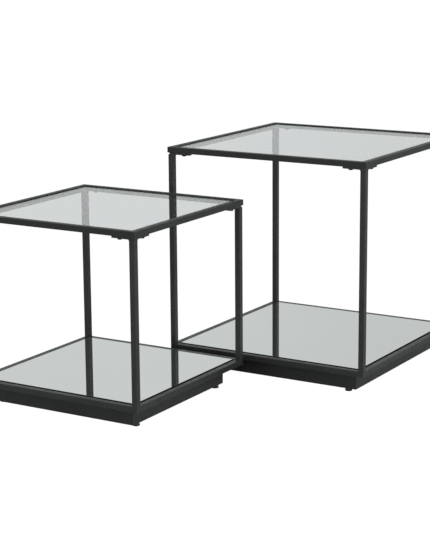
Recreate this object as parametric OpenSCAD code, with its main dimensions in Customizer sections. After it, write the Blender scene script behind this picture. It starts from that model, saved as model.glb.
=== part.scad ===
// Set of two square nesting side tables: a large one and a small one that fits inside its bay.
// Each table is a black steel frame with a clear glass top and a mirrored shelf on a set-back plinth.
// Millimetres, +Z up, floor at z = 0, front = -Y. The origin is under the middle of the whole set.

/* [Large table] */
// Outside width and depth of the large table
large_w = 500; // [440:5:560]
// Height of the large table
large_h = 520; // [490:5:600]

/* [Small table] */
// Outside width and depth of the small table
small_w = 430; // [360:5:430]
// Height of the small table
small_h = 422; // [300:1:424]
// How far the small table's centre stands to the right of the large one's (negative is left)
small_dx = -248; // [-300:1:0]
// Clear gap between the front of the large table and the back of the small one
small_gap = 30; // [20:1:80]

/* [Steel tube] */
// Width of the square tube of the top frames and legs
tube = 13; // [12:0.5:15]
// Wall of the square tube
tube_wall = 1.2; // [1:0.1:1.5]
// How far the legs and the shelf ring stand back from the edge of the top frame
leg_inset = 1.5; // [1:0.5:3]
// Height of the tube of the shelf ring
ring_h = 13; // [12:0.5:15]

/* [Glass top] */
// Thickness of the glass top
glass_t = 5; // [4:0.5:6]
// Depth of the glass below the rim of the top frame
glass_recess = 2; // [1:0.5:2]
// Gap between the glass and the frame all round
glass_gap = 1; // [1:0.5:3]
// Width of the flat bar ledge under the glass
ledge_w = 20; // [12:1:25]
// Thickness of the ledge
ledge_t = 3; // [2:0.5:3]

/* [Corner brackets] */
// Length of a bracket arm from the outside corner of the frame
arm_len = 57; // [50:1:65]
// Thickness of the bracket plate
bracket_t = 4; // [2.5:0.5:4]
// Distance of a bracket screw from the outside corner of the frame
screw_at = 40; // [34:1:44]

/* [Mirror shelf] */
// Thickness of the mirror
mirror_t = 5; // [4:0.5:6]
// Gap between the mirror and the shelf ring all round
mirror_gap = 4; // [2:0.5:6]
// Thickness of the board under the mirror
board_t = 6; // [5:0.5:6]
// Thickness of the straps between the shelf ring and the plinth
strap_t = 3; // [3:0.5:4]
// Width of a strap
strap_w = 20; // [16:1:30]

/* [Plinth] */
// Height of the plinth rails
plinth_h = 40; // [35:1:45]
// Thickness of the plinth rails
plinth_t = 15; // [15:1:20]
// Wall of the plinth rails
plinth_wall = 1.5; // [1.5:0.1:2]
// How far the plinth stands back from the shelf ring
plinth_inset = 33; // [30:1:40]

/* [Glides] */
// Height of the plinth above the floor with the glides fully screwed in
glide_h = 6; // [5:0.5:8]
// Diameter of a glide's foot
glide_d = 16; // [12:0.5:16]
// Distance of a glide from the end of its plinth rail
glide_at = 22; // [20:1:35]
// Length of the glide's threaded stud
stud_len = 22; // [18:1:28]

/* [Hidden] */
$fn = 32;
stud_r = 3;          // M6 stud
screw_r = 2.5;       // M5 bracket screw
screw_head_r = 5;
screw_head_h = 3;
screw_len = 9;       // bracket screw below its head
recess_r = 1.3;      // hexagon socket in the screw heads
wood_screw_r = 1.75;
wood_screw_len = 7;
wood_head_r = 3.5;
wood_head_h = 2;
insert_r = 4.5;      // body of the rivet nut that takes the glide's stud
insert_len = 12;
insert_flange_r = 6.5;
insert_flange_t = 0.7;
fit_gap = 0.05;      // between a thread and its hole
stop_gap = 0.3;      // between the glide's foot and the insert
hole_gap = 0.25;     // around a screw in its clearance hole
bracket_notch = 5;   // corner cut off the bracket under the frame corner
bumper_r = 5;
bumper_at = 0.3;     // bumper place, as a part of the table's width from its middle
strap_at = 0.3;      // strap place, as a part of the table's width from its middle
strap_on_rail = 15;  // how far a strap reaches over the plinth rail
board_gap = 0.5;     // gap between the board and the shelf ring
weld_gap = 0.5;      // root gap between two ledges at a corner
cut = 1;             // how far a cutting solid runs past a face

ring_z = glide_h + plinth_h;
ring_top = ring_z + ring_h;
mirror_z = ring_z + strap_t + board_t;

small_dy = -(large_w + small_w) / 2 - small_gap;
origin_x = (large_w / 2 + min(-large_w / 2, small_dx - small_w / 2)) / 2;
origin_y = (large_w / 2 + small_dy - small_w / 2) / 2;

// A table is [outside width, height, centre, true where its glides stand on the front and back rails]
LARGE = [large_w, large_h, [-origin_x, -origin_y], true];
SMALL = [small_w, small_h, [small_dx - origin_x, small_dy - origin_y], false];
FRONT = 0;
RIGHT = 1;
BACK = 2;
LEFT = 3;

function ring_w(table) = table[0] - 2 * leg_inset;
function ring_inside(table) = ring_w(table) - 2 * tube;
function plinth_w(table) = ring_w(table) - 2 * plinth_inset;
function frame_z(table) = table[1] - tube;
function frame_inside(table) = table[0] - 2 * tube;

// Stands the children on a table's place, turned to one of its four sides
module at_table(table, side) {
    translate(table[2]) rotate([0, 0, 90 * side]) children();
}

module at_all_sides(table) {
    for (side = [FRONT : LEFT]) at_table(table, side) children();
}

// A box with its middle at x = 0 and its near face at y = 0
module flat_bar(length, width, thick) {
    translate([-length / 2, 0, 0]) cube([length, width, thick]);
}

// The outline of a bar with 45 degree ends, its long face at y = 0
module mitred_outline(length, width) {
    half = length / 2;
    polygon([[-half, 0], [half, 0], [half - width, width], [width - half, width]]);
}

// A hollow bar with 45 degree ends, open at both, its long face at y = 0
module mitred_tube(length, width, height, wall) {
    difference() {
        linear_extrude(height) mitred_outline(length, width);
        translate([-length / 2, wall, wall]) cube([length, width - 2 * wall, height - 2 * wall]);
    }
}

// A hollow upright, capped at its lower end and open at its upper end
module upright(width, length, wall) {
    difference() {
        cube([width, width, length]);
        translate([wall, wall, wall]) cube([width - 2 * wall, width - 2 * wall, length - wall + cut]);
    }
}

// The places of the two bracket screws along one side of the top frame
module at_bracket_screws(table) {
    for (end = [-1, 1]) {
        translate([end * (table[0] / 2 - screw_at), leg_inset + tube / 2, 0]) children();
    }
}

// One side of the top frame, with tapped holes for the bracket screws in its underside
module top_bar(table, side) {
    color([0.13, 0.13, 0.14])
    at_table(table, side)
    translate([0, -table[0] / 2, frame_z(table)])
    difference() {
        mitred_tube(table[0], tube, tube, tube_wall);
        at_bracket_screws(table)
            translate([0, 0, -cut]) cylinder(r = screw_r + fit_gap, h = tube_wall + 2 * cut);
    }
}

// Four flat bars welded inside the top frame, flush with its underside
module glass_ledges(table) {
    color([0.11, 0.11, 0.12])
    for (side = [FRONT : LEFT]) {
        trim = side % 2 == 0 ? 0 : 2 * (ledge_w + weld_gap);
        at_table(table, side)
            translate([0, -frame_inside(table) / 2, frame_z(table)])
                flat_bar(frame_inside(table) - trim, ledge_w, ledge_t);
    }
}

module glass_top(table) {
    width = frame_inside(table) - 2 * glass_gap;
    color([0.8, 0.87, 0.85, 0.4])
    at_table(table, FRONT)
        translate([0, -width / 2, table[1] - glass_recess - glass_t]) flat_bar(width, width, glass_t);
}

// Clear discs between the ledges and the glass, two on each side
module glass_bumpers(table) {
    height = tube - ledge_t - glass_recess - glass_t;
    color([0.9, 0.9, 0.9, 0.7])
    at_all_sides(table)
        for (end = [-1, 1])
            translate([end * bumper_at * table[0], -frame_inside(table) / 2 + ledge_w / 2,
                       frame_z(table) + ledge_t])
                cylinder(r = bumper_r, h = height);
}

// The L shaped plate on top of a leg, drawn for the front left corner with the leg's corner at 0, 0
module bracket_plate() {
    arm = arm_len - leg_inset;
    difference() {
        union() {
            cube([arm, tube, bracket_t]);
            cube([tube, arm, bracket_t]);
        }
        translate([0, 0, -cut]) linear_extrude(bracket_t + 2 * cut)
            polygon([[-cut, -cut], [bracket_notch, -cut], [-cut, bracket_notch]]);
        translate([screw_at - leg_inset, tube / 2, -cut])
            cylinder(r = screw_r + hole_gap, h = bracket_t + 2 * cut);
        translate([tube / 2, screw_at - leg_inset, -cut])
            cylinder(r = screw_r + hole_gap, h = bracket_t + 2 * cut);
    }
}

module brackets(table) {
    corner = -table[0] / 2 + leg_inset;
    color([0.1, 0.1, 0.11])
    at_all_sides(table)
        translate([corner, corner, frame_z(table) - bracket_t]) bracket_plate();
}

// A screw with a chamfered head and a hexagon socket, its head below z = 0 and its thread above
module screw(thread_r, length, head_r, head_h) {
    edge = head_h / 4;
    difference() {
        rotate_extrude()
            polygon([[0, -head_h], [head_r - edge, -head_h], [head_r, edge - head_h],
                     [head_r, 0], [thread_r, 0], [thread_r, length], [0, length]]);
        translate([0, 0, -head_h - cut]) cylinder(r = recess_r, h = head_h / 2 + cut, $fn = 6);
    }
}

module bracket_screws(table) {
    color([0.08, 0.08, 0.09])
    at_all_sides(table)
        translate([0, -table[0] / 2, frame_z(table) - bracket_t])
            at_bracket_screws(table) screw(screw_r, screw_len, screw_head_r, screw_head_h);
}

// A leg stands in the corner of the shelf ring and carries its bracket
module leg(table, corner) {
    inset = -ring_w(table) / 2;
    color([0.14, 0.14, 0.15])
    at_table(table, corner)
        translate([inset, inset, ring_z])
            upright(tube, frame_z(table) - bracket_t - ring_z, tube_wall);
}

// A straight bar of the shelf ring, between two legs
module ring_bar(table, side) {
    length = ring_inside(table);
    color([0.15, 0.15, 0.16])
    at_table(table, side)
    translate([0, -ring_w(table) / 2, ring_z])
    difference() {
        flat_bar(length, tube, ring_h);
        translate([0, tube_wall, tube_wall])
            flat_bar(length + 2 * cut, tube - 2 * tube_wall, ring_h - 2 * tube_wall);
    }
}

module at_straps(table) {
    at_all_sides(table)
        for (end = [-1, 1])
            translate([end * strap_at * table[0], -ring_inside(table) / 2, ring_z]) children();
}

// Where the board screw passes a strap, measured in from the shelf ring
strap_screw_y = (plinth_inset - tube) / 2;

// Flat bars welded between the shelf ring and the top of the plinth
module shelf_straps(table) {
    length = plinth_inset - tube + strap_on_rail;
    color([0.1, 0.1, 0.11])
    at_straps(table) difference() {
        flat_bar(strap_w, length, strap_t);
        translate([0, strap_screw_y, -cut])
            cylinder(r = wood_screw_r + hole_gap, h = strap_t + 2 * cut);
    }
}

module board_screws(table) {
    color([0.3, 0.3, 0.3])
    at_straps(table) translate([0, strap_screw_y, 0])
        screw(wood_screw_r, wood_screw_len, wood_head_r, wood_head_h);
}

// The board that the mirror is bonded to, with pilot holes for its screws
module shelf_board(table) {
    width = ring_inside(table) - 2 * board_gap;
    color([0.16, 0.13, 0.11])
    difference() {
        at_table(table, FRONT)
            translate([0, -width / 2, ring_z + strap_t]) flat_bar(width, width, board_t);
        at_straps(table) translate([0, strap_screw_y, 0])
            cylinder(r = wood_screw_r + fit_gap, h = wood_screw_len + fit_gap);
    }
}

module shelf_mirror(table) {
    width = ring_inside(table) - 2 * mirror_gap;
    color([0.78, 0.83, 0.82])
    at_table(table, FRONT) translate([0, -width / 2, mirror_z]) flat_bar(width, width, mirror_t);
}

// Stands the children at a table's four glides, or at one of them where corner is given
module at_glide(table, corner) {
    far = plinth_w(table) / 2 - glide_at;
    near = plinth_w(table) / 2 - plinth_t / 2;
    sign_x = corner == 1 || corner == 2 ? 1 : -1;
    sign_y = corner >= 2 ? 1 : -1;
    at_table(table, FRONT)
        translate(table[3] ? [sign_x * far, sign_y * near] : [sign_x * near, sign_y * far]) children();
}

module plinth_rail(table, side) {
    color([0.12, 0.12, 0.13])
    difference() {
        at_table(table, side)
            translate([0, -plinth_w(table) / 2, glide_h])
                mitred_tube(plinth_w(table), plinth_t, plinth_h, plinth_wall);
        for (corner = [0 : 3])
            at_glide(table, corner) cylinder(r = insert_r, h = glide_h + plinth_wall + cut);
    }
}

// Rivet nuts in the underside of the plinth
module glide_inserts(table) {
    color([0.7, 0.7, 0.68])
    for (corner = [0 : 3]) at_glide(table, corner) difference() {
        union() {
            translate([0, 0, glide_h]) cylinder(r = insert_r, h = insert_len);
            translate([0, 0, glide_h - insert_flange_t])
                cylinder(r = insert_flange_r, h = insert_flange_t);
        }
        cylinder(r = stud_r + fit_gap, h = glide_h + insert_len + cut);
    }
}

// A levelling glide: a round foot with a rounded rim, moulded on a threaded stud
module glide(table, corner) {
    foot_r = glide_d / 2;
    foot_top = glide_h - insert_flange_t - stop_gap;
    rim = 1;
    color([0.06, 0.06, 0.06])
    at_glide(table, corner) rotate_extrude() union() {
        square([foot_r - rim, foot_top]);
        translate([0, rim]) square([foot_r, foot_top - 2 * rim]);
        translate([foot_r - rim, rim]) circle(r = rim);
        translate([foot_r - rim, foot_top - rim]) circle(r = rim);
        square([stud_r, foot_top + stud_len]);
    }
}

top_bar(LARGE, FRONT);  // large_top_front
top_bar(LARGE, RIGHT);  // large_top_right
top_bar(LARGE, BACK);  // large_top_back
top_bar(LARGE, LEFT);  // large_top_left
glass_ledges(LARGE);  // large_glass_ledges
glass_top(LARGE);  // large_glass_top
glass_bumpers(LARGE);  // large_glass_bumpers
brackets(LARGE);  // large_brackets
bracket_screws(LARGE);  // large_bracket_screws
leg(LARGE, 0);  // large_leg_front_left
leg(LARGE, 1);  // large_leg_front_right
leg(LARGE, 2);  // large_leg_back_right
leg(LARGE, 3);  // large_leg_back_left
ring_bar(LARGE, FRONT);  // large_ring_front
ring_bar(LARGE, RIGHT);  // large_ring_right
ring_bar(LARGE, BACK);  // large_ring_back
ring_bar(LARGE, LEFT);  // large_ring_left
shelf_straps(LARGE);  // large_shelf_straps
shelf_board(LARGE);  // large_shelf_board
board_screws(LARGE);  // large_board_screws
shelf_mirror(LARGE);  // large_shelf_mirror
plinth_rail(LARGE, FRONT);  // large_plinth_front
plinth_rail(LARGE, RIGHT);  // large_plinth_right
plinth_rail(LARGE, BACK);  // large_plinth_back
plinth_rail(LARGE, LEFT);  // large_plinth_left
glide_inserts(LARGE);  // large_glide_inserts
glide(LARGE, 0);  // large_glide_front_left
glide(LARGE, 1);  // large_glide_front_right
glide(LARGE, 2);  // large_glide_back_right
glide(LARGE, 3);  // large_glide_back_left
top_bar(SMALL, FRONT);  // small_top_front
top_bar(SMALL, RIGHT);  // small_top_right
top_bar(SMALL, BACK);  // small_top_back
top_bar(SMALL, LEFT);  // small_top_left
glass_ledges(SMALL);  // small_glass_ledges
glass_top(SMALL);  // small_glass_top
glass_bumpers(SMALL);  // small_glass_bumpers
brackets(SMALL);  // small_brackets
bracket_screws(SMALL);  // small_bracket_screws
leg(SMALL, 0);  // small_leg_front_left
leg(SMALL, 1);  // small_leg_front_right
leg(SMALL, 2);  // small_leg_back_right
leg(SMALL, 3);  // small_leg_back_left
ring_bar(SMALL, FRONT);  // small_ring_front
ring_bar(SMALL, RIGHT);  // small_ring_right
ring_bar(SMALL, BACK);  // small_ring_back
ring_bar(SMALL, LEFT);  // small_ring_left
shelf_straps(SMALL);  // small_shelf_straps
shelf_board(SMALL);  // small_shelf_board
board_screws(SMALL);  // small_board_screws
shelf_mirror(SMALL);  // small_shelf_mirror
plinth_rail(SMALL, FRONT);  // small_plinth_front
plinth_rail(SMALL, RIGHT);  // small_plinth_right
plinth_rail(SMALL, BACK);  // small_plinth_back
plinth_rail(SMALL, LEFT);  // small_plinth_left
glide_inserts(SMALL);  // small_glide_inserts
glide(SMALL, 0);  // small_glide_front_left
glide(SMALL, 1);  // small_glide_front_right
glide(SMALL, 2);  // small_glide_back_right
glide(SMALL, 3);  // small_glide_back_left
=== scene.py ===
"""Nesting tables with black steel frames, clear glass tops and mirror shelves.

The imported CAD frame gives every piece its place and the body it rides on. The sizes that the boxes of
its nodes don't give are named here.
"""

import math
import random

import bmesh
import bpy
from mathutils import Matrix, Vector


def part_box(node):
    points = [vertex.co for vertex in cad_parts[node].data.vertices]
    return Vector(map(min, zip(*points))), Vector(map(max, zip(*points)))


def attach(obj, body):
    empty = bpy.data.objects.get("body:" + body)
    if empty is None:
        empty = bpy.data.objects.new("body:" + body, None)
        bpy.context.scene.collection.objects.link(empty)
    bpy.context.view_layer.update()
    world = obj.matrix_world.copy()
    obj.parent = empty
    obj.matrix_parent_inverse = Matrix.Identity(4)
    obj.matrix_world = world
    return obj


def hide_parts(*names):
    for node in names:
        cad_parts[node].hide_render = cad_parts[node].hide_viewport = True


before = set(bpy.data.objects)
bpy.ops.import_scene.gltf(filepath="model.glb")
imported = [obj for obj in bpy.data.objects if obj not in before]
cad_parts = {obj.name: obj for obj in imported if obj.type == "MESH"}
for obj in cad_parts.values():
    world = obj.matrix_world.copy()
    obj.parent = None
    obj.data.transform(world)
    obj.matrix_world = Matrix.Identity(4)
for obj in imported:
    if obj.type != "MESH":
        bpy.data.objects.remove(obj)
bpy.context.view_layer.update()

TABLES = ("large", "small")
SIDES = ("front", "right", "back", "left")
CORNERS = ("front_left", "front_right", "back_right", "back_left")
MM = 0.001
LEDGE = 20 * MM  # width of the bar under the glass
ARM = 57 * MM  # bracket arm, from the outside corner of the frame
SCREW_AT = 40 * MM  # bracket screw, from the outside corner of the frame
# A screw's head radius and height, socket radius, shank radius and shank length
BRACKET_SCREW = (5 * MM, 3 * MM, 1.5 * MM, 2.5 * MM, 9 * MM)
BOARD_SCREW = (3.5 * MM, 2 * MM, 1.2 * MM, 1.75 * MM, 7 * MM)
BUMPER_RADIUS = 5 * MM
STRAP_WIDTH = 20 * MM
STRAP_ON_RAIL = 15 * MM  # how far a strap reaches over the plinth rail
PAIR_AT = 0.3  # bumpers and straps stand in pairs, this part of the width from the middle
TUBE_ROUND = 1.0 * MM  # outside radius of the legs' and the shelf ring's tube
EDGE_ROUND = 0.35 * MM  # rounding of flat bar
ON_AXIS = 0.1 * MM  # radius of the small flat where a turned shape meets its axis
SMOOTH_BELOW = math.radians(35)  # edges flatter than this are shaded smooth
FLAT = 0.99  # a sheet's flat side has a normal at least this upright
DOWN = (0, 0, -1)


# ---------------------------------------------------------------- places, all from the CAD frame


class Table:
    """One table's centre and main sizes, read from its CAD nodes."""

    def __init__(self, name):
        self.name = name
        self.body = name + "_table"
        low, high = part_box(name + "_glass_top")
        self.centre = Vector(((low[0] + high[0]) / 2, (low[1] + high[1]) / 2, 0))
        bar_low, bar_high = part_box(name + "_top_front")
        self.width = bar_high[0] - bar_low[0]
        self.tube = bar_high[1] - bar_low[1]
        self.top = (bar_low[2], bar_high[2])
        leg_low, leg_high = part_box(name + "_leg_front_left")
        self.leg = (leg_low[2], leg_high[2])
        self.inset = leg_low[0] - bar_low[0]
        ring_low, ring_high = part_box(name + "_ring_front")
        self.ring = (ring_low[2], ring_high[2])
        self.ring_width = self.width - 2 * self.inset
        rail_low, rail_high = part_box(name + "_plinth_front")
        self.plinth = (rail_low[2], rail_high[2])
        self.plinth_width = rail_high[0] - rail_low[0]
        self.rail = rail_high[1] - rail_low[1]
        self.strap_gap = (self.ring_width - self.plinth_width) / 2 - self.tube

    def turn(self, side):
        """Carries a shape drawn for the front side, about 0, 0, to one of the four sides."""
        return Matrix.Translation(self.centre) @ Matrix.Rotation(side * math.pi / 2, 4, "Z")


# ---------------------------------------------------------------- mesh tools


def mark_sharp(bm):
    """Smooth faces, with every edge that is sharp enough kept crisp."""
    for face in bm.faces:
        face.smooth = True
    for edge in bm.edges:
        edge.smooth = len(edge.link_faces) == 2 and edge.calc_face_angle(0) < SMOOTH_BELOW


def make(name, bm, materials, body, slot, *nodes):
    """Turns a bmesh into a piece that rides on a body and stands for CAD nodes."""
    bmesh.ops.recalc_face_normals(bm, faces=bm.faces)
    mark_sharp(bm)
    mesh = bpy.data.meshes.new(name)
    bm.to_mesh(mesh)
    bm.free()
    piece = bpy.data.objects.new(name, mesh)
    bpy.context.collection.objects.link(piece)
    for material in materials if isinstance(materials, list) else [materials]:
        mesh.materials.append(material)
    normals = piece.modifiers.new("Even faces", "WEIGHTED_NORMAL")
    normals.keep_sharp = True
    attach(piece, body)
    if nodes:
        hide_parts(*nodes)
    return piece


def add_grid(bm, rows, closed=True, caps=True):
    """Skins rows of points that all have the same count; closed joins each row's ends."""
    rings = [[bm.verts.new(point) for point in row] for row in rows]
    count = len(rings[0])
    for a, b in zip(rings, rings[1:]):
        for i in range(count if closed else count - 1):
            j = (i + 1) % count
            bm.faces.new((a[i], a[j], b[j], b[i]))
    if caps:
        bm.faces.new(list(reversed(rings[0])))
        bm.faces.new(rings[-1])


def rounded_section(width, height, radius):
    """Points (depth, z) round a tube's outside; depth runs inwards from the outer face."""
    steps = 4
    points = []
    for cx, cz, start in (
        (radius, radius, 180),
        (width - radius, radius, 270),
        (width - radius, height - radius, 0),
        (radius, height - radius, 90),
    ):
        for k in range(steps + 1):
            a = math.radians(start + 90 * k / steps)
            points.append((cx + radius * math.cos(a), cz + radius * math.sin(a)))
    return points


def mitred_bar(bm, matrix, width, depth, low, high, radius, corner):
    """One side of a square frame of tube, mitred, its outer corners rounded a little in plan."""
    half = width / 2
    section = rounded_section(depth, high - low, radius)
    straight_end = half - depth * 1.5
    steps = 4
    spacing = 0.4 * MM  # the rows' spread along the inner side, before the mitre
    right = [[matrix @ Vector((straight_end, -half + d, low + z)) for d, z in section]]
    for k in range(steps + 1):
        t = k / steps
        row = []
        for d, z in section:
            if d < corner:
                a = math.radians(45 * t)
                x = half - corner + (corner - d) * math.sin(a)
                y = -(half - corner + (corner - d) * math.cos(a))
            else:
                x, y = half - d - (1 - t) * spacing, -half + d
            row.append(matrix @ Vector((x, y, low + z)))
        right.append(row)
    flip = matrix @ Matrix.Scale(-1, 4, (1, 0, 0)) @ matrix.inverted()
    left = [[flip @ point for point in row] for row in reversed(right)]
    add_grid(bm, left + right)


def straight_bar(bm, matrix, length, depth, low, high, radius):
    """A bar along x with square ends, its outer face at y = 0."""
    section = rounded_section(depth, high - low, radius)
    ends = (-length / 2, length / 2)
    add_grid(bm, [[matrix @ Vector((x, d, low + z)) for d, z in section] for x in ends])


def slab(bm, matrix, outline, low, high, bevel):
    """An extruded outline, with every edge rounded except its shallowest corners."""
    part = bmesh.new()
    bottom = [part.verts.new((x, y, low)) for x, y in outline]
    top = [part.verts.new((x, y, high)) for x, y in outline]
    part.faces.new(list(reversed(bottom)))
    part.faces.new(top)
    for i in range(len(outline)):
        j = (i + 1) % len(outline)
        part.faces.new((bottom[i], bottom[j], top[j], top[i]))
    bmesh.ops.recalc_face_normals(part, faces=part.faces)
    sharp = [e for e in part.edges if e.calc_face_angle(0) > math.radians(30)]
    bmesh.ops.bevel(
        part,
        geom=sharp,
        offset=bevel,
        segments=2,
        profile=0.5,
        affect="EDGES",
        clamp_overlap=True,
    )
    join(bm, part, matrix)


def box_outline(x0, y0, x1, y1):
    return [(x0, y0), (x1, y0), (x1, y1), (x0, y1)]


def square_sheet(t, node, bevel):
    """A square sheet that fills its CAD node's box, with its edges rounded."""
    low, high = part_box(node)
    half = (high[0] - low[0]) / 2
    bm = bmesh.new()
    slab(bm, t.turn(0), box_outline(-half, -half, half, half), low[2], high[2], bevel)
    return bm


def join(bm, part, matrix):
    """Adds one bmesh to another, moved by a matrix."""
    part.transform(matrix)
    mesh = bpy.data.meshes.new("part")
    part.to_mesh(mesh)
    part.free()
    bm.from_mesh(mesh)
    bpy.data.meshes.remove(mesh)


def lathe(bm, matrix, profile, segments=32, caps=True):
    """A turned shape. The profile's points are (radius, z); caps close its two ends."""
    angles = [2 * math.pi * k / segments for k in range(segments)]
    rows = []
    for r, z in profile:
        rows.append([matrix @ Vector((r * math.cos(a), r * math.sin(a), z)) for a in angles])
    add_grid(bm, rows, caps=caps)


def arc(cx, cz, radius, start, end, steps=4):
    """Profile points on an arc, for lathe."""
    angles = [math.radians(start + (end - start) * k / steps) for k in range(steps + 1)]
    return [(cx + radius * math.cos(a), cz + radius * math.sin(a)) for a in angles]


def bead(bm, start, end, normal, width, height, seed):
    """A weld bead along a joint: a low half round with the ripples of its puddles."""
    start, end, normal = Vector(start), Vector(end), Vector(normal).normalized()
    along = end - start
    length = along.length
    along.normalize()
    side = normal.cross(along)
    rng = random.Random(seed)
    puddle = 1.1 * MM  # length of one ripple
    ripples = max(4, int(length / puddle))
    steps = 8
    rows = []
    for k in range(ripples * 2 + 1):
        t = k / (ripples * 2)
        ends = min(1.0, 0.25 + math.sqrt(max(0.0, 1 - (2 * t - 1) ** 6)))
        ripple = 0.10 if k % 2 else -0.06
        swell = (1 + ripple + rng.uniform(-0.05, 0.05)) * ends
        middle = start + along * (length * t)
        row = []
        for i in range(steps + 1):
            a = math.pi * i / steps
            sideways = side * (math.cos(a) * width / 2 * swell)
            row.append(middle + sideways + normal * (math.sin(a) * height * swell))
        sunk = normal * height * 0.5
        row += [row[-1] - sunk, row[0] - sunk]
        rows.append(row)
    add_grid(bm, rows)


# ---------------------------------------------------------------- materials


class Nodes:
    """A material being built: its tree and its Principled shader."""

    def __init__(self, name, **sockets):
        self.material = bpy.data.materials.new(name)
        self.material.use_nodes = True
        self.tree = self.material.node_tree
        self.shader = self.tree.nodes["Principled BSDF"]
        for key, value in sockets.items():
            self.shader.inputs[key.replace("_", " ")].default_value = value
        self.coords = self.tree.nodes.new("ShaderNodeTexCoord")

    def noise(self, scale, detail, roughness, stretch=(1, 1, 1)):
        mapping = self.tree.nodes.new("ShaderNodeMapping")
        mapping.inputs["Scale"].default_value = stretch
        self.tree.links.new(self.coords.outputs["Object"], mapping.inputs["Vector"])
        node = self.tree.nodes.new("ShaderNodeTexNoise")
        node.inputs["Scale"].default_value = scale
        node.inputs["Detail"].default_value = detail
        node.inputs["Roughness"].default_value = roughness
        self.tree.links.new(mapping.outputs["Vector"], node.inputs["Vector"])
        return node.outputs["Fac"]

    def ramp(self, source, low, high, start=0.3, end=0.7):
        """Maps a noise to the range between two colours or two numbers."""
        node = self.tree.nodes.new("ShaderNodeValToRGB")
        node.color_ramp.elements[0].position = start
        node.color_ramp.elements[1].position = end
        for element, value in zip(node.color_ramp.elements, (low, high)):
            element.color = value if isinstance(value, tuple) else (value, value, value, 1)
        self.tree.links.new(source, node.inputs["Fac"])
        return node.outputs["Color"]

    def to(self, output, socket):
        self.tree.links.new(output, self.shader.inputs[socket])

    def bump(self, source, distance, strength, under=None):
        node = self.tree.nodes.new("ShaderNodeBump")
        node.inputs["Distance"].default_value = distance
        node.inputs["Strength"].default_value = strength
        self.tree.links.new(source, node.inputs["Height"])
        if under:
            self.tree.links.new(under, node.inputs["Normal"])
        return node.outputs["Normal"]


def powder_coat(name, dark, light, rough=(0.36, 0.50), specular=0.5):
    """Satin black powder coat: a fine orange peel, faint clouding and a few specks of grit."""
    m = Nodes(name, Specular_IOR_Level=specular)
    cloud = m.noise(22, 4, 0.6)
    m.to(m.ramp(cloud, dark, light), "Base Color")
    m.to(m.ramp(m.noise(60, 3, 0.6), rough[0], rough[1]), "Roughness")
    peel = m.bump(m.noise(750, 2, 0.5), 0.00006, 0.45)
    m.to(m.bump(m.noise(3200, 1, 0.5), 0.00001, 0.35, peel), "Normal")
    return m.material


def clear_glass(name, tint):
    """Clear float glass, with the faint uneven gloss that wiping leaves."""
    m = Nodes(name, Base_Color=tint, IOR=1.52, Transmission_Weight=1.0)
    m.to(m.ramp(m.noise(9, 5, 0.65, (1, 2.2, 1)), 0.0, 0.012, 0.45, 0.75), "Roughness")
    return m.material


def glass_edge(name, dark, light):
    """The ground and polished edge of float glass, where its green shows."""
    m = Nodes(name, IOR=1.52, Transmission_Weight=0.55)
    m.to(m.ramp(m.noise(160, 3, 0.6, (1, 1, 4)), dark, light), "Base Color")
    m.to(m.ramp(m.noise(420, 2, 0.5, (1, 1, 6)), 0.06, 0.16), "Roughness")
    return m.material


def mirror_face(name, dark, light):
    """Silvered glass with a very slight waver and dust in its gloss."""
    m = Nodes(name, Metallic=1.0)
    m.to(m.ramp(m.noise(5, 4, 0.6), dark, light), "Base Color")
    m.to(m.ramp(m.noise(14, 5, 0.65, (1, 1.8, 1)), 0.008, 0.03, 0.4, 0.8), "Roughness")
    return m.material


def plain_steel(name, dark, light, rough=(0.28, 0.42)):
    """Plated or oxidised steel, finely uneven in colour and gloss."""
    m = Nodes(name, Metallic=1.0)
    m.to(m.ramp(m.noise(180, 4, 0.6), dark, light), "Base Color")
    m.to(m.ramp(m.noise(500, 3, 0.5), rough[0], rough[1]), "Roughness")
    m.to(m.bump(m.noise(1400, 2, 0.5), 0.00002, 0.4), "Normal")
    return m.material


def moulded(name, dark, light, rough):
    """Moulded plastic with a fine matt grain."""
    m = Nodes(name)
    m.to(m.ramp(m.noise(300, 3, 0.6), dark, light), "Base Color")
    m.to(m.ramp(m.noise(900, 2, 0.5), rough[0], rough[1]), "Roughness")
    m.to(m.bump(m.noise(2500, 2, 0.5), 0.00002, 0.5), "Normal")
    return m.material


def board_face(name, dark, light):
    """Black faced board: a pressed paper grain that runs one way."""
    m = Nodes(name)
    grain = m.noise(160, 5, 0.65, (1, 14, 14))
    m.to(m.ramp(grain, dark, light), "Base Color")
    m.to(m.ramp(m.noise(90, 3, 0.6), 0.55, 0.75), "Roughness")
    m.to(m.bump(grain, 0.00008, 0.5), "Normal")
    return m.material


def soft_plastic(name, dark, light):
    """Clear soft plastic, a little cloudy."""
    m = Nodes(name, IOR=1.45, Transmission_Weight=0.8)
    m.to(m.ramp(m.noise(500, 3, 0.5), dark, light), "Base Color")
    m.to(m.ramp(m.noise(900, 2, 0.5), 0.12, 0.3), "Roughness")
    return m.material


POWDER = powder_coat("black_powder_coat", (0.014, 0.014, 0.015, 1), (0.021, 0.021, 0.022, 1))
POWDER_TOP = powder_coat(
    "black_powder_coat_top",
    (0.013, 0.013, 0.014, 1),
    (0.019, 0.019, 0.020, 1),
    rough=(0.42, 0.56),
    specular=0.4,
)
BLACK_SCREW = plain_steel(
    "black_oxide_screw",
    (0.018, 0.018, 0.020, 1),
    (0.035, 0.035, 0.038, 1),
    rough=(0.35, 0.5),
)
ZINC = plain_steel("zinc_plated_steel", (0.50, 0.50, 0.52, 1), (0.66, 0.66, 0.67, 1))
NYLON = moulded("black_nylon", (0.012, 0.012, 0.012, 1), (0.022, 0.022, 0.023, 1), (0.42, 0.6))
BUMPER = soft_plastic("clear_soft_plastic", (0.80, 0.83, 0.82, 1), (0.90, 0.92, 0.91, 1))
GLASS = clear_glass("clear_glass", (0.93, 0.955, 0.95, 1))
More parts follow.
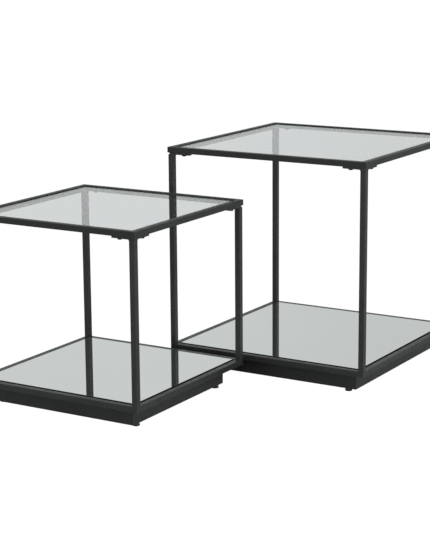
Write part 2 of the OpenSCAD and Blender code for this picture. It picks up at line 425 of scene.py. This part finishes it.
GLASS_EDGE = glass_edge("clear_glass_edge", (0.10, 0.22, 0.18, 1), (0.16, 0.32, 0.27, 1))
MIRROR = mirror_face("mirror", (0.795, 0.825, 0.815, 1), (0.81, 0.84, 0.83, 1))
MIRROR_EDGE = glass_edge("mirror_edge", (0.010, 0.022, 0.018, 1), (0.020, 0.040, 0.033, 1))
BOARD = board_face("black_faced_board", (0.016, 0.014, 0.013, 1), (0.034, 0.031, 0.029, 1))


# ---------------------------------------------------------------- the parts of a table


def top_frame(t):
    """The four mitred bars round the glass."""
    for side, word in enumerate(SIDES):
        node = f"{t.name}_top_{word}"
        bm = bmesh.new()
        mitred_bar(bm, t.turn(side), t.width, t.tube, *t.top, radius=0.9 * MM, corner=0.8 * MM)
        make(node + "_tube", bm, POWDER_TOP, t.body, "black_powder_coat", node)


def ledges(t):
    """Flat bars under the glass, stitched to the tube with short welds on their undersides."""
    node = t.name + "_glass_ledges"
    low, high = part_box(node)
    inside = high[0] - low[0]
    clearance = 1 * MM  # the shorter bars stop half of this from the longer ones
    half_weld = 9 * MM
    bars = bmesh.new()
    welds = bmesh.new()
    for side in range(4):
        length = inside if side % 2 == 0 else inside - 2 * LEDGE - clearance
        turn = t.turn(side)
        outline = box_outline(-length / 2, -inside / 2, length / 2, -inside / 2 + LEDGE)
        slab(bars, turn, outline, low[2], high[2], EDGE_ROUND)
        for k in range(5):
            x = (k - 2) * length * 0.22
            a = turn @ Vector((x - half_weld, -inside / 2, low[2]))
            b = turn @ Vector((x + half_weld, -inside / 2, low[2]))
            bead(welds, a, b, DOWN, 3.2 * MM, 0.9 * MM, side * 7 + k)
    make(node + "_bars", bars, POWDER, t.body, "black_powder_coat", node)
    make(node + "_welds", welds, POWDER, t.body, "black_powder_coat")


def glass_top(t):
    """The clear pane, with its edges in their own material."""
    node = t.name + "_glass_top"
    bm = square_sheet(t, node, 0.7 * MM)
    piece = make(node + "_pane", bm, [GLASS, GLASS_EDGE], t.body, "clear_glass", node)
    for face in piece.data.polygons:
        face.material_index = 0 if abs(face.normal.z) > FLAT else 1


def bumpers(t):
    """Clear domed discs between the ledges and the glass."""
    node = t.name + "_glass_bumpers"
    low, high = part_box(node)
    out = (high[1] - low[1]) / 2 - BUMPER_RADIUS
    dome = 1.2 * MM
    profile = [(ON_AXIS, low[2]), (BUMPER_RADIUS, low[2])]
    profile += arc(BUMPER_RADIUS - dome, high[2] - dome, dome, 0, 80, 5)
    profile += [(ON_AXIS, high[2])]
    bm = bmesh.new()
    for side in range(4):
        for end in (-1, 1):
            place = Matrix.Translation((end * PAIR_AT * t.width, -out, 0))
            lathe(bm, t.turn(side) @ place, profile)
    make(node + "_discs", bm, BUMPER, t.body, "clear_bumper", node)


def brackets(t):
    """L shaped plates with square arms and the corner under the frame cut off."""
    node = t.name + "_brackets"
    low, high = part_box(node)
    arm = ARM - t.inset
    w = t.tube
    corner = Vector((-t.width / 2 + t.inset, -t.width / 2 + t.inset))
    cut, off = 5 * MM, 0.8 * MM  # the cut under the frame's corner, and the arms' small chamfers
    outline = [(cut, 0), (arm - off, 0), (arm, off), (arm, w - off), (arm - off, w), (w, w)]
    outline += [(w, arm - off), (w - off, arm), (off, arm), (0, arm - off), (0, cut)]
    outline = [(corner.x + x, corner.y + y) for x, y in outline]
    bm = bmesh.new()
    for side in range(4):
        slab(bm, t.turn(side), outline, low[2], high[2], 0.3 * MM)
    make(node + "_plates", bm, POWDER, t.body, "black_powder_coat", node)


def socket_screw(bm, matrix, head_r, head_h, socket_r, shank_r, shank):
    """A pan head with a hexagon socket, below z = 0, on a shank above it."""
    segments = 36
    floor = -head_h * 0.45  # the bottom of the socket
    lip = socket_r * 1.2  # where the head's curve begins
    curve = 8
    fullness = 0.6  # 1 would be a half ellipse; less is fuller
    rim = 0.3  # the share of the head's height that is straight
    rows = []

    def ring(r, z, hexagon=0.0):
        """A row of points: round, with radius r, at hexagon 0, and the socket's outline at 1."""
        row = []
        for k in range(segments):
            a = 2 * math.pi * k / segments
            wedge = (a + math.pi / 6) % (math.pi / 3) - math.pi / 6
            flat = socket_r * math.cos(math.pi / 6) / math.cos(wedge)
            radius = r * (1 - hexagon) + flat * hexagon
            row.append(matrix @ Vector((radius * math.cos(a), radius * math.sin(a), z)))
        rows.append(row)

    ring(0.02 * MM, floor)
    ring(0, floor - 0.01 * MM, 0.97)
    ring(0, -head_h + 0.06 * MM, 1.0)
    ring(0, -head_h, 1.08)
    for k in range(1, curve + 1):
        a = math.radians(90 * k / curve)
        bulge = math.cos(a) ** fullness if k < curve else 0
        ring(lip + (head_r - lip) * math.sin(a) ** fullness, -head_h * (rim + (1 - rim) * bulge))
    under = 0.15 * MM  # chamfer under the head
    point = 0.5 * MM  # chamfer at the shank's end
    ring(head_r, -under)
    ring(head_r - under, 0)
    ring(shank_r, 0)
    ring(shank_r, shank - point)
    ring(shank_r - point, shank)
    add_grid(bm, rows)


def bracket_screws(t):
    """Two screws up through each bracket into the frame, each stopped at its own angle."""
    node = t.name + "_bracket_screws"
    low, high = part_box(node)
    bottom = t.leg[1]
    across = (high[0] - low[0]) / 2 - BRACKET_SCREW[0]
    bm = bmesh.new()
    for side in range(4):
        for end in (-1, 1):
            place = Matrix.Translation((end * (t.width / 2 - SCREW_AT), -across, bottom))
            spin = Matrix.Rotation(0.4 + side * 0.9 + end, 4, "Z")
            socket_screw(bm, t.turn(side) @ place @ spin, *BRACKET_SCREW)
    make(node + "_heads", bm, BLACK_SCREW, t.body, "black_screw", node)


def legs(t):
    """Square tubes, with a fillet weld where each one meets its bracket plate."""
    w = t.tube
    half = t.ring_width / 2
    for corner, word in enumerate(CORNERS):
        node = f"{t.name}_leg_{word}"
        turn = t.turn(corner) @ Matrix.Translation((-half, -half, 0))
        section = rounded_section(w, w, TUBE_ROUND)
        bm = bmesh.new()
        add_grid(bm, [[turn @ Vector((x, y, z)) for x, y in section] for z in t.leg])
        make(node + "_tube", bm, POWDER, t.body, "black_powder_coat", node)
        welds = bmesh.new()
        for swap in (False, True):
            fillet(welds, turn, w, t.leg[1], swap)
        make(node + "_welds", welds, POWDER, t.body, "black_powder_coat")


def fillet(bm, matrix, w, top, swap):
    """The hollow-faced weld between one inner face of a leg and the plate above it."""
    rng = random.Random(int(w * 1e6) + swap)
    stations, steps = 12, 6
    margin = 0.4 * MM  # from the weld's ends to the tube's corners
    sunk, lift, root = 0.05 * MM, 0.02 * MM, 0.3 * MM  # how far it bites into the leg and the plate
    rows = []
    for k in range(stations + 1):
        across = margin + (w - 2 * margin) * k / stations
        reach = (3.6 + rng.uniform(-0.25, 0.25)) * MM
        row = []
        for i in range(steps + 1):
            a = math.radians(90 * i / steps)
            out = reach * (1 - math.sin(a))
            down = reach * (1 - math.cos(a))
            row.append((w + out - sunk, across, top - down + lift))
        row.append((w - root, across, top + lift))
        rows.append([matrix @ Vector((y, x, z) if swap else (x, y, z)) for x, y, z in row])
    add_grid(bm, rows)


def shelf_ring(t):
    """Bars welded flush between the legs: they run on to where each leg's flat face starts."""
    half = t.ring_width / 2
    for side, word in enumerate(SIDES):
        node = f"{t.name}_ring_{word}"
        length = t.ring_width - 2 * t.tube + 2 * TUBE_ROUND
        bm = bmesh.new()
        place = t.turn(side) @ Matrix.Translation((0, -half, 0))
        straight_bar(bm, place, length, t.tube, *t.ring, TUBE_ROUND)
        make(node + "_tube", bm, POWDER, t.body, "black_powder_coat", node)


def strap_places(t):
    """Each strap's side of the table, and a matrix to the middle of its end at the shelf ring."""
    inside = t.ring_width / 2 - t.tube
    for side in range(4):
        for end in (-1, 1):
            yield side, t.turn(side) @ Matrix.Translation((end * PAIR_AT * t.width, -inside, 0))


def straps(t):
    """Flat bars from the shelf ring to the plinth rails, welded at both."""
    node = t.name + "_shelf_straps"
    low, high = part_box(node)
    half = STRAP_WIDTH / 2
    half_weld = 8 * MM
    outline = box_outline(-half, 0, half, t.strap_gap + STRAP_ON_RAIL)
    bars = bmesh.new()
    welds = bmesh.new()

    def weld(place, y, normal, width, height, seed):
        ends = [place @ Vector((x, y, low[2])) for x in (-half_weld, half_weld)]
        bead(welds, *ends, normal, width, height, seed)

    for n, (_, place) in enumerate(strap_places(t)):
        slab(bars, place, outline, low[2], high[2], EDGE_ROUND)
        outward = place.to_3x3() @ Vector((0, -1, -1))
        weld(place, 0, DOWN, 3.2 * MM, 1.0 * MM, n)
        weld(place, t.strap_gap, outward, 3.4 * MM, 1.1 * MM, n + 20)
    make(node + "_bars", bars, POWDER, t.body, "black_powder_coat", node)
    make(node + "_welds", welds, POWDER, t.body, "black_powder_coat")


def board(t):
    """The board under the mirror."""
    node = t.name + "_shelf_board"
    bm = square_sheet(t, node, 0.4 * MM)
    make(node + "_panel", bm, BOARD, t.body, "shelf_board", node)


def board_screws(t):
    """Small screws up through the straps into the board."""
    node = t.name + "_board_screws"
    bm = bmesh.new()
    for side, place in strap_places(t):
        up = Matrix.Translation((0, t.strap_gap / 2, t.ring[0]))
        spin = Matrix.Rotation(side * 1.3, 4, "Z")
        socket_screw(bm, place @ up @ spin, *BOARD_SCREW)
    make(node + "_heads", bm, ZINC, t.body, "zinc_steel", node)


def mirror(t):
    """The silvered sheet; its underside has the dark edge's material."""
    node = t.name + "_shelf_mirror"
    bm = square_sheet(t, node, 0.8 * MM)
    piece = make(node + "_sheet", bm, [MIRROR, MIRROR_EDGE], t.body, "mirror", node)
    for face in piece.data.polygons:
        face.material_index = 0 if face.normal.z > FLAT else 1


def plinth(t):
    """The four mitred rails of the plinth."""
    for side, word in enumerate(SIDES):
        node = f"{t.name}_plinth_{word}"
        bm = bmesh.new()
        size = (t.plinth_width, t.rail, *t.plinth)
        mitred_bar(bm, t.turn(side), *size, radius=1.5 * MM, corner=1.2 * MM)
        make(node + "_rail", bm, POWDER, t.body, "black_powder_coat", node)


def glide_places(t):
    """Each glide's corner, its centre on the floor, and the heights of its foot and its tip."""
    for word in CORNERS:
        low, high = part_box(f"{t.name}_glide_{word}")
        yield word, Vector(((low[0] + high[0]) / 2, (low[1] + high[1]) / 2, 0)), low[2], high[2]


def inserts(t):
    """Rivet nuts: a thin flange under the rail and the barrel inside it."""
    node = t.name + "_glide_inserts"
    low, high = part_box(node)
    bore, barrel, flange = 3.05 * MM, 4.5 * MM, 6.5 * MM  # radii
    edge = (t.plinth[0] - low[2]) / 2  # the flange's edge is a half round
    profile = [(bore, low[2] + 0.3 * MM), (3.3 * MM, low[2])]
    profile += arc(flange - edge, low[2] + edge, edge, -90, 60)
    profile += [(barrel, t.plinth[0]), (barrel, high[2]), (bore, high[2])]
    profile.append(profile[0])
    bm = bmesh.new()
    for _, place, _, _ in glide_places(t):
        lathe(bm, Matrix.Translation(place), profile, caps=False)
    bmesh.ops.remove_doubles(bm, verts=bm.verts, dist=0.000005)
    make(node + "_nuts", bm, ZINC, t.body, "zinc_steel", node)


def glides(t):
    """A moulded foot with a dished underside, on a stud with a real M6 thread."""
    for word, place, foot, tip in glide_places(t):
        node = f"{t.name}_glide_{word}"
        top = t.plinth[0] - 1.0 * MM  # clear of the insert's flange
        pad = bmesh.new()
        lathe(pad, Matrix.Translation(place), foot_profile(foot, top), 40)
        make(node + "_foot", pad, NYLON, node, "glide_plastic", node)
        stud = bmesh.new()
        add_grid(stud, thread_rows(place, top - 1.0 * MM, tip))
        make(node + "_stud", stud, ZINC, node, "zinc_steel")


def foot_profile(bottom, top):
    """A round foot, dished underneath, with a rounded rim and shoulder."""
    radius, rim, shoulder, dish = 8 * MM, 1.2 * MM, 2.0 * MM, 0.5 * MM
    profile = [(ON_AXIS, bottom + dish), (4.5 * MM, bottom + dish), (5.5 * MM, bottom)]
    profile += arc(radius - rim, bottom + rim, rim, -90, 0, 5)
    profile += arc(radius - 0.2 * MM - shoulder, top - shoulder, shoulder, 10, 90, 6)
    return profile + [(3.6 * MM, top), (ON_AXIS, top)]


def thread_rows(place, bottom, tip):
    """Rows of points up an M6 thread, chamfered at its tip."""
    outer, depth, pitch, chamfer = 3.0 * MM, 0.55 * MM, 1.0 * MM, 2.2 * MM
    segments = 24
    levels = int((tip - bottom) / pitch * 6)
    rows = []
    for k in range(levels + 1):
        z = bottom + (tip - bottom) * k / levels
        row = []
        for i in range(segments):
            a = 2 * math.pi * i / segments
            phase = (z / pitch - i / segments) % 1.0
            radius = min(outer - depth * abs(2 * phase - 1), chamfer + (tip - z))
            row.append(place + Vector((radius * math.cos(a), radius * math.sin(a), z)))
        rows.append(row)
    return rows


for name in TABLES:
    table = Table(name)
    for build in (
        top_frame,
        ledges,
        glass_top,
        bumpers,
        brackets,
        bracket_screws,
        legs,
        shelf_ring,
        straps,
        board,
        board_screws,
        mirror,
        plinth,
        inserts,
        glides,
    ):
        build(table)


# ---------------------------------------------------------------- camera, floor and light


def add_camera():
    """The catalogue view: from the front right, a little above the tops, with a long lens."""
    place = (1.8585, -3.1148, 1.0414)
    yaw, pitch, roll = math.radians(31.245), math.radians(-12.32), math.radians(-0.436)
    data = bpy.data.cameras.new("Camera")
    data.sensor_width = 36
    data.lens = 109.70
    data.clip_start = 0.05
    data.clip_end = 100
    camera = bpy.data.objects.new("Camera", data)
    camera.matrix_world = (
        Matrix.Translation(place)
        @ Matrix.Rotation(yaw, 4, "Z")
        @ Matrix.Rotation(math.pi / 2 + pitch, 4, "X")
        @ Matrix.Rotation(roll, 4, "Z")
    )
    bpy.context.collection.objects.link(camera)
    bpy.context.scene.camera = camera


# Colour of the studio round the tables, from its left (0) to its right (1)
STUDIO = (
    (0.235, (0.972, 1.0, 1.0, 1)),
    (0.25, (0.949, 0.976, 0.976, 1)),
    (0.27, (0.924, 0.952, 0.955, 1)),
    (0.295, (0.898, 0.918, 0.908, 1)),
    (0.375, (0.88, 0.90, 0.89, 1)),
    (0.55, (0.972, 1.0, 1.0, 1)),
)
STUDIO_STRENGTH = 0.695
WHITE = 1.02  # the background and the floor as the camera sees them
FLOOR_DEPTH = 9 * MM  # below the feet, past the reach of the lowest glide


def add_world():
    """White behind the tables, and a soft studio round them, a little darker left of its middle."""
    world = bpy.data.worlds.new("Studio")
    bpy.context.scene.world = world
    world.use_nodes = True
    tree = world.node_tree
    tree.nodes.clear()
    out = tree.nodes.new("ShaderNodeOutputWorld")
    paths = tree.nodes.new("ShaderNodeLightPath")
    mix = tree.nodes.new("ShaderNodeMixShader")
    seen = tree.nodes.new("ShaderNodeBackground")
    seen.inputs["Color"].default_value = (1, 1, 1, 1)
    seen.inputs["Strength"].default_value = WHITE
    studio = tree.nodes.new("ShaderNodeBackground")
    studio.inputs["Strength"].default_value = STUDIO_STRENGTH
    coords = tree.nodes.new("ShaderNodeTexCoord")
    axes = tree.nodes.new("ShaderNodeSeparateXYZ")
    sideways = tree.nodes.new("ShaderNodeMapRange")
    sideways.inputs["From Min"].default_value = -1
    ramp = tree.nodes.new("ShaderNodeValToRGB")
    stops = ramp.color_ramp.elements
    stops[0].position, stops[0].color = STUDIO[0]
    stops[1].position, stops[1].color = STUDIO[-1]
    for position, colour in STUDIO[1:-1]:
        stops.new(position).color = colour
    tree.links.new(coords.outputs["Generated"], axes.inputs["Vector"])
    tree.links.new(axes.outputs["X"], sideways.inputs["Value"])
    tree.links.new(sideways.outputs["Result"], ramp.inputs["Fac"])
    tree.links.new(ramp.outputs["Color"], studio.inputs["Color"])
    tree.links.new(paths.outputs["Is Camera Ray"], mix.inputs["Fac"])
    tree.links.new(studio.outputs["Background"], mix.inputs[1])
    tree.links.new(seen.outputs["Background"], mix.inputs[2])
    tree.links.new(mix.outputs["Shader"], out.inputs["Surface"])


def add_floor():
    """A pale seamless floor: white to the camera, and as bright as the studio through the glass."""
    reach = 8
    rows = [[(x, y, 0) for x in range(-reach, reach + 1, 4)] for y in range(-reach, reach + 1, 2)]
    bm = bmesh.new()
    add_grid(bm, rows, closed=False, caps=False)
    mesh = bpy.data.meshes.new("Floor")
    bm.to_mesh(mesh)
    bm.free()
    floor = bpy.data.objects.new("Floor", mesh)
    floor.location.z = -FLOOR_DEPTH
    bpy.context.collection.objects.link(floor)
    m = Nodes("pale_floor", Roughness=0.8)
    m.to(m.ramp(m.noise(3, 3, 0.5), (0.45, 0.46, 0.46, 1), (0.47, 0.48, 0.48, 1)), "Base Color")
    tree = m.tree
    paths = tree.nodes.new("ShaderNodeLightPath")
    white = tree.nodes.new("ShaderNodeEmission")
    white.inputs["Strength"].default_value = WHITE
    through = tree.nodes.new("ShaderNodeEmission")
    through.inputs["Color"].default_value = STUDIO[-1][1]
    through.inputs["Strength"].default_value = STUDIO_STRENGTH
    first = tree.nodes.new("ShaderNodeMixShader")
    second = tree.nodes.new("ShaderNodeMixShader")
    tree.links.new(paths.outputs["Is Transmission Ray"], first.inputs["Fac"])
    tree.links.new(m.shader.outputs["BSDF"], first.inputs[1])
    tree.links.new(through.outputs["Emission"], first.inputs[2])
    tree.links.new(paths.outputs["Is Camera Ray"], second.inputs["Fac"])
    tree.links.new(first.outputs["Shader"], second.inputs[1])
    tree.links.new(white.outputs["Emission"], second.inputs[2])
    tree.links.new(second.outputs["Shader"], tree.nodes["Material Output"].inputs["Surface"])
    mesh.materials.append(m.material)


def polished_pieces():
    """The glass and the mirrors, left out of the area lights so as not to show their shapes."""
    group = bpy.data.collections.new("Polished")
    for name in TABLES:
        for piece in ("_glass_top_pane", "_shelf_mirror_sheet"):
            group.objects.link(bpy.data.objects[name + piece])
    for item in group.collection_objects:
        item.light_linking.link_state = "EXCLUDE"
    return group


def area_light(name, place, width, height, watts, linked):
    """A softbox that points at the middle of the tables."""
    target = Vector((0, 0, 0.25))
    data = bpy.data.lights.new(name, "AREA")
    data.shape = "RECTANGLE"
    data.size = width
    data.size_y = height
    data.energy = watts
    light = bpy.data.objects.new(name, data)
    light.location = place
    light.rotation_euler = (target - Vector(place)).to_track_quat("-Z", "Y").to_euler()
    light.light_linking.receiver_collection = linked
    bpy.context.collection.objects.link(light)


polished = polished_pieces()
add_camera()
add_world()
add_floor()
area_light("Right_softbox", (3.2, -0.6, 1.7), 2.2, 2.0, 63, polished)
area_light("Front_softbox", (-0.8, -3.6, 2.2), 2.0, 1.6, 17, polished)
bpy.context.scene.view_settings.view_transform = "Standard"
bpy.context.scene.view_settings.look = "None"
